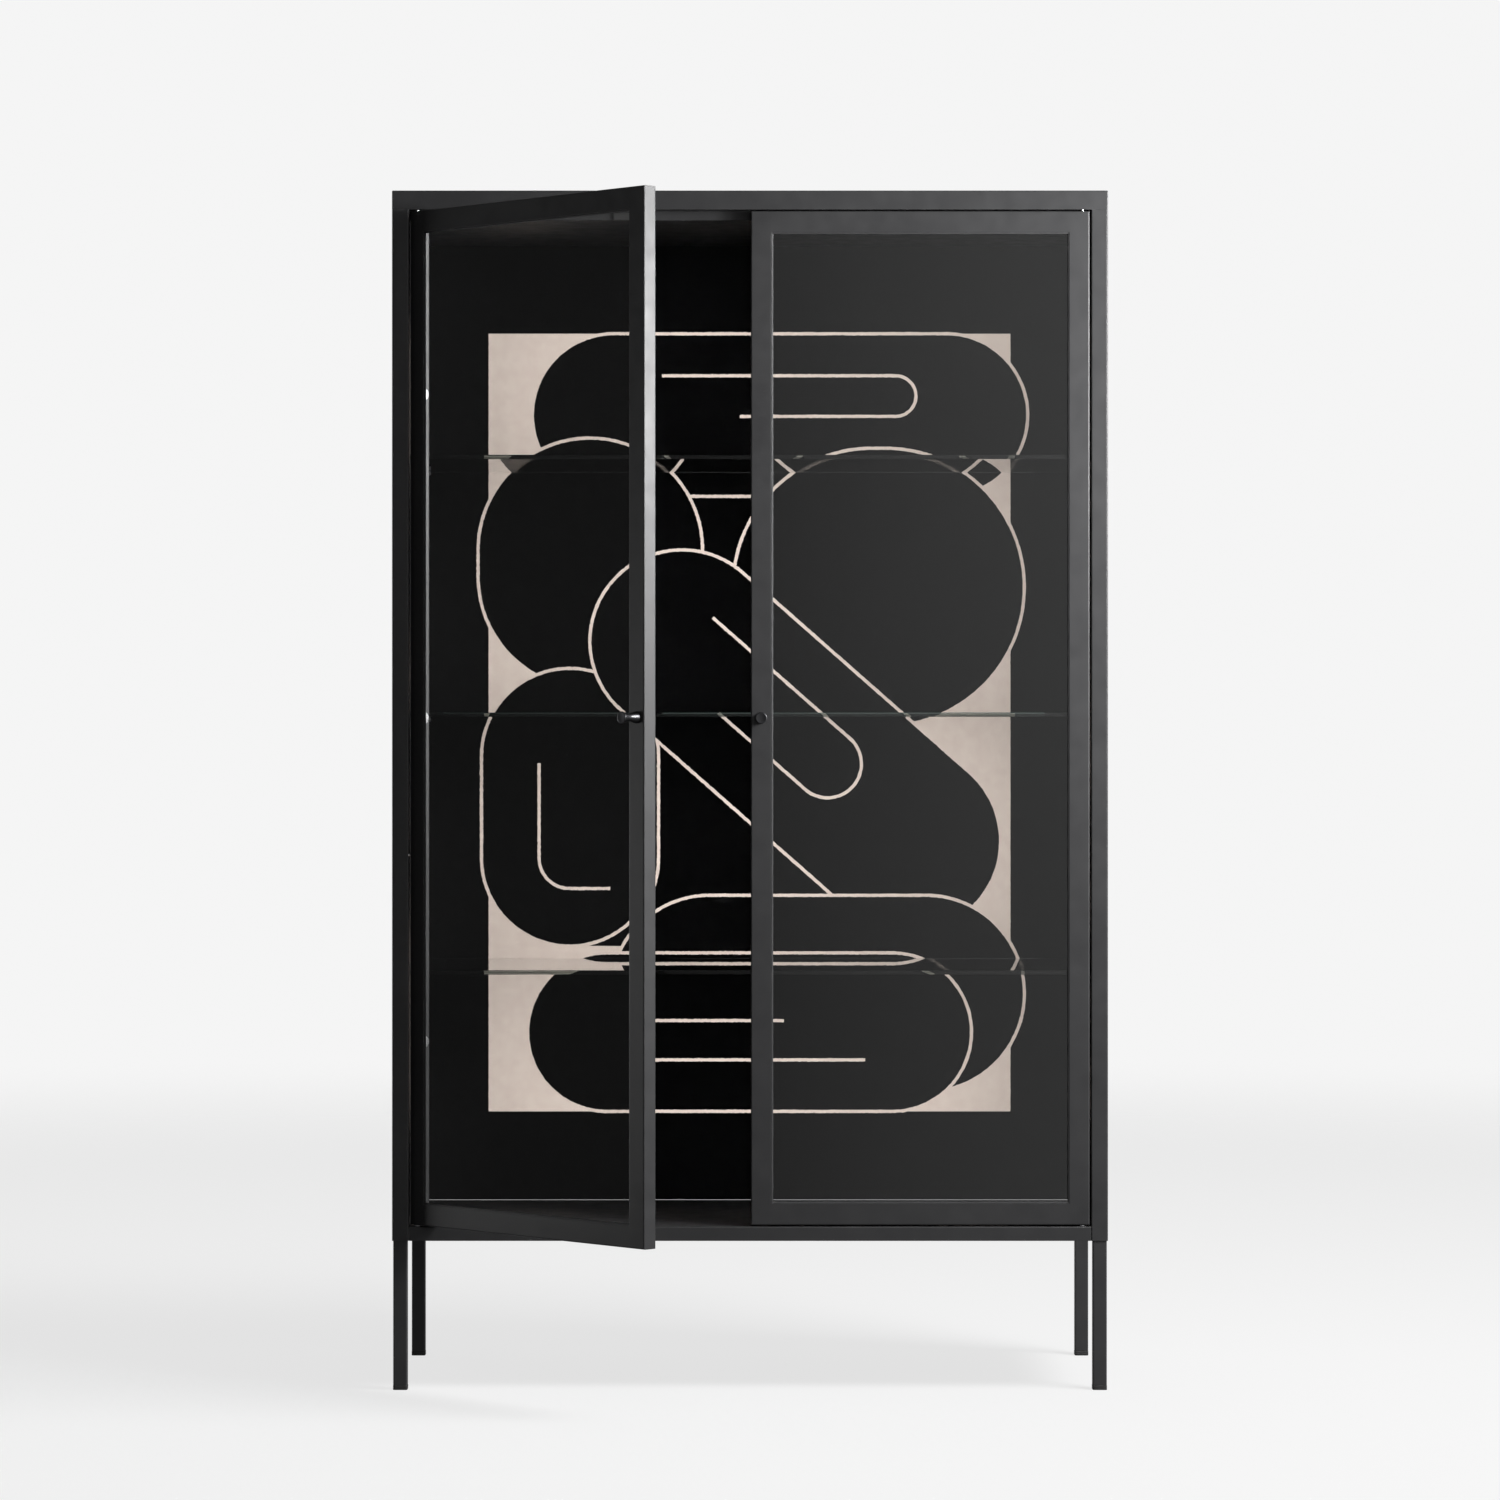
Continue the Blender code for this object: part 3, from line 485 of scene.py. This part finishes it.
finishes = makeFinishes()
for part in frame["record"]["subparts"]:
    mesh = nodes[part["node"]]
    if not mesh.material_slots:
        mesh.data.materials.append(None)
    for holder in mesh.material_slots:
        holder.material = finishes[part["material_slot"]]
print("finishes on all solids")


sharpAngle = 32.0      # degrees; edges sharper than this stay crisp on smooth pieces


# A mesh with its place in its vertices and its faces turned outwards.
def addPiece(name, points, faces, slot, body, smooth=False):
    mesh = bpy.data.meshes.new(name)
    mesh.from_pydata(points.tolist(), [], faces)
    bm = bmesh.new()
    bm.from_mesh(mesh)
    bmesh.ops.recalc_face_normals(bm, faces=bm.faces)
    bm.to_mesh(mesh)
    bm.free()
    mesh.materials.append(finishes[slot])
    piece = bpy.data.objects.new(name, mesh)
    bpy.context.scene.collection.objects.link(piece)
    if smooth:
        mesh.shade_smooth()
        mesh.set_sharp_from_angle(angle=math.radians(sharpAngle))
    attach(piece, body)
    return piece


# Quads between neighbouring closed rings of count points each.
def ringFaces(rings, count):
    row = np.arange(rings - 1)[:, None] * count
    here = np.arange(count)[None, :]
    there = (here + 1) % count
    quads = np.stack([row + here, row + there, row + count + there, row + count + here], axis=-1)
    return quads.reshape(-1, 4).tolist()


# Point (i, j) is the profile's radius i turned to angle j round +Z, at the profile's height i.
# The first and last profile points lie on the axis and are single points.
def turnedSurface(profile, steps):
    inner = profile[1:-1]
    angle = np.linspace(0.0, 2 * np.pi, steps, endpoint=False)
    points = np.empty((len(inner), steps, 3))
    points[..., 0] = inner[:, :1] * np.cos(angle)
    points[..., 1] = inner[:, :1] * np.sin(angle)
    points[..., 2] = inner[:, 1:]
    points = points.reshape(-1, 3)
    ends = np.array([[0.0, 0.0, profile[0, 1]], [0.0, 0.0, profile[-1, 1]]])
    faces = ringFaces(len(inner), steps)
    last = (len(inner) - 1) * steps
    top, bottom = len(points), len(points) + 1
    around = [(k, (k + 1) % steps) for k in range(steps)]
    faces += [(top, b, a) for a, b in around]
    faces += [(bottom, last + a, last + b) for a, b in around]
    return np.vstack([points, ends]), faces


# Points of an arc, as centre plus radius times the cosine and sine of the angle.
def roundOff(centre, radius, fromDeg, toDeg, steps=5):
    angle = np.radians(np.linspace(fromDeg, toDeg, steps))
    return np.array(centre) + radius * np.stack([np.cos(angle), np.sin(angle)], axis=1)


# Mirrors points of the shut right door and turns them about the left pivot to where that door stands.
def onLeftDoor(points):
    hinge = joints["left_door_hinge"]
    pivot = np.array(hinge["pos_m"])
    angle = math.radians(hinge["range_deg"][0]) * -hinge["axis"][2]
    flipped = points * np.array([-1.0, 1.0, 1.0]) - pivot
    turned = flipped.copy()
    turned[:, 0] = flipped[:, 0] * math.cos(angle) - flipped[:, 1] * math.sin(angle)
    turned[:, 1] = flipped[:, 0] * math.sin(angle) + flipped[:, 1] * math.cos(angle)
    return turned + pivot


knob = {
    "waist": 0.0056, "flare": 1.4, "edge": 0.0009, "dish": 0.00035, "bore": 0.0023, "boreDepth": 0.0126,
    "inside": 0.0002,         # how far the rim stays inside the solid that it replaces
    "steps": 72,
}


# The flank's radius is the waist plus a power of the distance from the middle; rims are arcs.
def knobProfile(length, end):
    along = np.linspace(-1.0, 1.0, 33)
    edge = knob["edge"]
    flank = np.stack([knob["waist"] + (end - knob["waist"]) * np.abs(along) ** knob["flare"],
                      length / 2 + along * (length / 2 - edge)], axis=1)
    face = np.linspace(end - edge, 0.0, 7)
    dish = np.stack([face, length - knob["dish"] * (1 - (face / (end - edge)) ** 2)], axis=1)
    hole = np.array([[0.0, knob["boreDepth"]], [knob["bore"], knob["boreDepth"]], [knob["bore"], 0.0]])
    return np.vstack([hole, roundOff((end - edge, edge), edge, -90, 0), flank[1:-1],
                      roundOff((end - edge, length - edge), edge, 0, 90), dish[1:]])


def makeKnobs():
    low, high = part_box("right_knob")
    centre = (low + high) / 2
    profile = knobProfile(high.y - low.y, (high.x - low.x) / 2 - knob["inside"])
    points, faces = turnedSurface(profile, knob["steps"])
    # the profile's height runs forward from the door
    placed = np.stack([centre.x + points[:, 0], high.y - points[:, 2], centre.z + points[:, 1]], axis=1)
    right = addPiece("rightKnob", placed, faces, "knob_metal", "right_door", True)
    left = addPiece("leftKnob", onLeftDoor(placed), faces, "knob_metal", "left_door", True)
    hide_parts("right_knob")
    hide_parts("left_knob")


button = {"edge": 0.0005, "dome": 0.00025, "dimple": 0.0022, "dimpleDepth": 0.0004, "steps": 48}


# A flat back, an arc at the rim, a face that rises as one minus the radius squared, and a dimple.
def buttonProfile(radius, thickness):
    edge = button["edge"]
    out = np.linspace(radius - edge, button["dimple"], 9)
    face = np.stack([out, thickness - button["dome"] * (out / (radius - edge)) ** 2], axis=1)
    rim = roundOff((radius - edge, thickness - edge - button["dome"]), edge, 0, 90)
    dip = np.linspace(0.85, 0.0, 4)[:, None] * np.array([[button["dimple"], 0.0]])
    dip[:, 1] = thickness - button["dimpleDepth"]
    return np.vstack([[0.0, 0.0], [radius, 0.0], rim, face[1:], dip])


def makeButtons():
    for number in (1, 2, 3):
        low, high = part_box(f"right_glass_button_{number}")
        centre = (low + high) / 2
        profile = buttonProfile((high.z - low.z) / 2, high.x - low.x)
        points, faces = turnedSurface(profile, button["steps"])
        # the profile's height runs from the stile towards the middle of the door
        placed = np.stack([high.x - points[:, 2], centre.y + points[:, 0], centre.z + points[:, 1]], axis=1)
        right = addPiece(f"rightButton{number}", placed, faces, "button_steel", "right_door", True)
        left = addPiece(f"leftButton{number}", onLeftDoor(placed), faces, "button_steel", "left_door", True)
        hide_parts(f"right_glass_button_{number}")
        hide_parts(f"left_glass_button_{number}")


foot = {
    "cornerPower": 9.0, "edge": 0.0008, "capHeight": 0.0065, "inset": 0.0019, "groove": 0.00025,
    "grooveShare": (0.42, 0.46, 0.54, 0.58),      # of the cap's height, from its lower lip to its upper
    "steps": 64,
}


# Point (i, j) is section i's half size times a rounded square: each side is the signed
# 2/power root of cosine and sine, at the section's height.
def makeFeet():
    steps = foot["steps"]
    angle = np.linspace(0.0, 2 * np.pi, steps, endpoint=False)
    power = 2.0 / foot["cornerPower"]
    square = np.stack([np.sign(np.cos(angle)) * np.abs(np.cos(angle)) ** power,
                       np.sign(np.sin(angle)) * np.abs(np.sin(angle)) ** power], axis=1)
    for row in ("front", "rear"):
        for side in ("left", "right"):
            name = f"{row}_{side}_foot"
            low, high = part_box(name)
            half = (high.x - low.x) / 2
            centre = (low + high) / 2
            cap, edge, inset = foot["capHeight"], foot["edge"], foot["inset"]
            lip, floor, ceiling, rim = [cap * share for share in foot["grooveShare"]]
            section = np.vstack([roundOff((half - edge, edge), edge, -90, 0),
                                 [half, lip], [half - foot["groove"], floor],
                                 [half - foot["groove"], ceiling], [half, rim],
                                 roundOff((half - edge, cap - edge), edge, 0, 90),
                                 [half - inset, cap], [half - inset, high.z]])
            points = np.empty((len(section), steps, 3))
            points[..., :2] = section[:, 0][:, None, None] * square + np.array([centre.x, centre.y])
            points[..., 2] = section[:, 1][:, None]
            faces = ringFaces(len(section), steps)
            last = (len(section) - 1) * steps
            faces += [list(range(steps - 1, -1, -1)), list(range(last, last + steps))]
            piece = addPiece(f"{row}{side.capitalize()}Foot", points.reshape(-1, 3), faces,
                             "foot_plastic", "cabinet", True)
            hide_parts(name)


# Faces of a band with four edges, two curves in front and the same two behind, closed at both ends.
def stripFaces(count):
    here = np.arange(count - 1)[:, None]
    there = here + 1
    edge = np.arange(4)[None, :]
    other = (edge + 1) % 4
    quads = np.stack([here * 4 + edge, there * 4 + edge, there * 4 + other, here * 4 + other], axis=-1)
    ends = [[3, 2, 1, 0], [count * 4 - 4, count * 4 - 3, count * 4 - 2, count * 4 - 1]]
    return quads.reshape(-1, 4).tolist() + ends


# Each station holds first and second at depth near, then second and first at depth far. The
# curves give two coordinates and the depth the third; order says which axes those are.
def stripPoints(first, second, near, far, order):
    count = len(first)
    flat = np.empty((count, 4, 3))
    flat[:, 0, :2], flat[:, 1, :2], flat[:, 2, :2], flat[:, 3, :2] = first, second, second, first
    flat[:, :2, 2], flat[:, 2:, 2] = near, far
    return flat.reshape(-1, 3)[:, order]


weld = {"sheet": 0.0012, "outerBend": 0.0018, "innerBend": 0.0006, "rearFlange": 0.020}


def makeWelds():
    low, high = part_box("right_side_panel")
    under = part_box("top_panel")[0].z
    bend, sheet = weld["outerBend"], weld["sheet"]
    outer = np.vstack([[high.x - weld["rearFlange"], high.y],
                       roundOff((high.x - bend, high.y - bend), bend, 90, 0),
                       roundOff((high.x - bend, low.y + bend), bend, 0, -90),
                       [low.x, low.y]])
    inner = np.vstack([[high.x - weld["rearFlange"], high.y - sheet],
                       roundOff((high.x - bend, high.y - bend), weld["innerBend"], 90, 0),
                       roundOff((high.x - bend, low.y + bend), weld["innerBend"], 0, -90),
                       [low.x, low.y + sheet]])
    points = stripPoints(outer, inner, high.z, under, [0, 1, 2])
    faces = stripFaces(len(outer))
    addPiece("rightTopWeld", points, faces, "body_paint", "cabinet")
    addPiece("leftTopWeld", points * np.array([-1.0, 1.0, 1.0]), faces, "body_paint", "cabinet")


drawing = {
    "halfWidth": 0.3845, "halfHeight": 0.574, "centreZ": 0.933,
    "line": 0.0047, "rough": 0.00022, "spacing": 0.0020,
    "ink": 0.00008, "layer": 0.000012, "gap": 0.00003,
    "gridX": 385, "gridZ": 1149, "seed": 11,
    "shortest": 4,            # points; a shorter stretch of a line is left out
}
# rounded bars from back to front: the two ends of the middle line, and the radius
bars = [
    ((-0.200, 0.454), (0.290, 0.454), 0.120),
    ((0.180, 0.200), (0.200, 0.200), 0.205),
    ((-0.235, 0.255), (-0.235, 0.215), 0.165),
    ((-0.265, -0.050), (-0.265, -0.200), 0.130),
    ((-0.100, 0.120), (0.235, -0.175), 0.135),
    ((-0.060, -0.400), (0.260, -0.400), 0.145),
    ((-0.210, -0.457), (0.210, -0.457), 0.117),
]
# loose lines: the bar each lies on, its start and heading, then runs (length) and bends (radius, degrees)
looseLines = [
    (0, (-0.130, 0.512), 0.0, [(0.345,), (0.030, -180), (0.230,)]),
    (4, (-0.055, 0.155), -41.4, [(0.270,), (0.050, -180), (0.170,)]),
    (6, (0.050, -0.440), 180.0, [(0.190,), (0.029, 180), (0.310,)]),
    (3, (-0.310, -0.060), -90.0, [(0.140,), (0.045, 90), (0.060,)]),
]


# Straight runs and arcs laid end to end; an arc's points are its centre plus the turned radius.
def drawLine(start, heading, moves):
    spot, angle = np.array(start), math.radians(heading)
    pieces = [spot[None]]
    for move in moves:
        if len(move) == 1:
            spot = spot + move[0] * np.array([math.cos(angle), math.sin(angle)])
            pieces.append(spot[None])
            continue
        radius, turn = move[0], math.radians(move[1])
        side = math.copysign(1.0, turn)
        centre = spot + side * radius * np.array([-math.sin(angle), math.cos(angle)])
        swept = angle + np.linspace(0.0, turn, max(6, int(abs(turn) * radius / drawing["spacing"])))[1:]
        pieces.append(centre + side * radius * np.stack([np.sin(swept), -np.cos(swept)], axis=1))
        angle += turn
        spot = pieces[-1][-1]
    return np.vstack(pieces)


# The outline of a rounded bar: along one side, half a turn, back along the other side, half a turn.
def barOutline(start, end, radius):
    along = np.array(end) - np.array(start)
    length = float(np.linalg.norm(along))
    ahead = along / length
    first = np.array(start) + radius * np.array([ahead[1], -ahead[0]])
    heading = math.degrees(math.atan2(ahead[1], ahead[0]))
    return drawLine(first, heading, [(length,), (radius, 180), (length,), (radius, 180)])


# How far points lie outside a bar: the distance to its middle line, less the radius.
def outsideBar(points, bar):
    start, end, radius = np.array(bar[0]), np.array(bar[1]), bar[2]
    along = end - start
    share = np.clip((points - start) @ along / (along @ along), 0.0, 1.0)
    return np.linalg.norm(points - start - share[..., None] * along, axis=-1) - radius


# The same path with points at an even spacing, found by its running length.
def evenly(points):
    run = np.concatenate([[0.0], np.cumsum(np.linalg.norm(np.diff(points, axis=0), axis=1))])
    spots = np.linspace(0.0, run[-1], max(4, int(run[-1] / drawing["spacing"])))
    return np.stack([np.interp(spots, run, points[:, 0]), np.interp(spots, run, points[:, 1])], axis=1)


# The stretches of true values, each as a slice.
def stretches(kept):
    steps = np.flatnonzero(np.diff(np.concatenate([[0], kept.astype(int), [0]])))
    return [slice(a, b) for a, b in zip(steps[::2], steps[1::2]) if b - a >= drawing["shortest"]]


# A line is a band: its path plus and minus half its width across, with edges that waver by a seeded noise.
def inkBand(path, chance):
    ahead = np.gradient(path, axis=0)
    across = np.stack([-ahead[:, 1], ahead[:, 0]], axis=1) / np.linalg.norm(ahead, axis=1)[:, None]
    half = drawing["line"] / 2 + chance.normal(0.0, drawing["rough"], (2, len(path), 1))
    return path + across * half[0], path - across * half[1]


# What no bar covers at either side of the frame is solid ink: in each row it runs from the frame's
# side to the first place where the least distance outside all bars turns negative.
def sideFills(side, chance):
    rows = np.linspace(-drawing["halfHeight"], drawing["halfHeight"], drawing["gridZ"])
    across = np.linspace(drawing["halfWidth"], 0.0, drawing["gridX"]) * side
    points = np.stack(np.broadcast_arrays(across[None, :], rows[:, None]), axis=-1)
    outside = np.min([outsideBar(points, bar) for bar in bars], axis=0)
    inside = outside < 0
    last = np.where(inside.any(axis=1), inside.argmax(axis=1), drawing["gridX"] - 1)
    line = np.arange(len(rows))
    before = np.maximum(last - 1, 0)
    near, far = outside[line, before], outside[line, last]
    share = np.clip(near / np.where(near == far, 1.0, near - far), 0.0, 1.0)
    inner = across[before] + share * (across[last] - across[before])
    filled = last > 0
    edge = np.full(len(rows), side * drawing["halfWidth"]) + chance.normal(0.0, drawing["rough"], len(rows))
    return [(np.stack([inner[run], rows[run]], axis=1), np.stack([edge[run], rows[run]], axis=1))
            for run in stretches(filled)]


def makeDrawing():
    chance = np.random.default_rng(drawing["seed"])
    middle = np.array([0.0, drawing["centreZ"]])
    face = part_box("back_panel")[0].y - drawing["gap"]
    bands = sideFills(-1.0, chance) + sideFills(1.0, chance)
    paths = [(number, barOutline(*bar)) for number, bar in enumerate(bars)]
    paths += [(number, drawLine(start, heading, moves)) for number, start, heading, moves in looseLines]
    for number, corners in paths:
        path = evenly(corners)
        seen = np.ones(len(path), bool)
        for bar in bars[number + 1:]:
            seen &= outsideBar(path, bar) > 0      # bars in front hide the line
        bands += [inkBand(path[run], chance) for run in stretches(seen)]
    allPoints, allFaces, held = [], [], 0
    for number, (first, second) in enumerate(bands):
        front = face - drawing["ink"] - number * drawing["layer"]
        allPoints.append(stripPoints(first + middle, second + middle, front, face, [0, 2, 1]))
        allFaces += [[k + held for k in corners] for corners in stripFaces(len(first))]
        held += 4 * len(first)
    return addPiece("backDrawing", np.vstack(allPoints), allFaces, "print_ink", "cabinet")


# A soft panel just behind the doors of each bay lights the drawing alone, because lamps don't shine
# through the glass. Its power is its glow times pi times its area.
def lightDrawing(ink):
    for bay in frame["record"]["physics"]["openings"]:
        low, high = bay["box_m"]
        width, height = high[0] - low[0], high[2] - low[2]
        middle = ((low[0] + high[0]) / 2, (low[2] + high[2]) / 2)
        place, target = (middle[0], low[1], middle[1]), (middle[0], high[1], middle[1])
        watts = studio["bayGlow"] * math.pi * width * height
        panel = makeLight(bay["name"] + "Light", place, target, width, height, watts, False)
        linkLight(panel, ink, "INCLUDE")


makeKnobs()
makeButtons()
makeFeet()
print("knobs, buttons and feet ready")
makeWelds()
lightDrawing(makeDrawing())
print("welds and drawing ready")
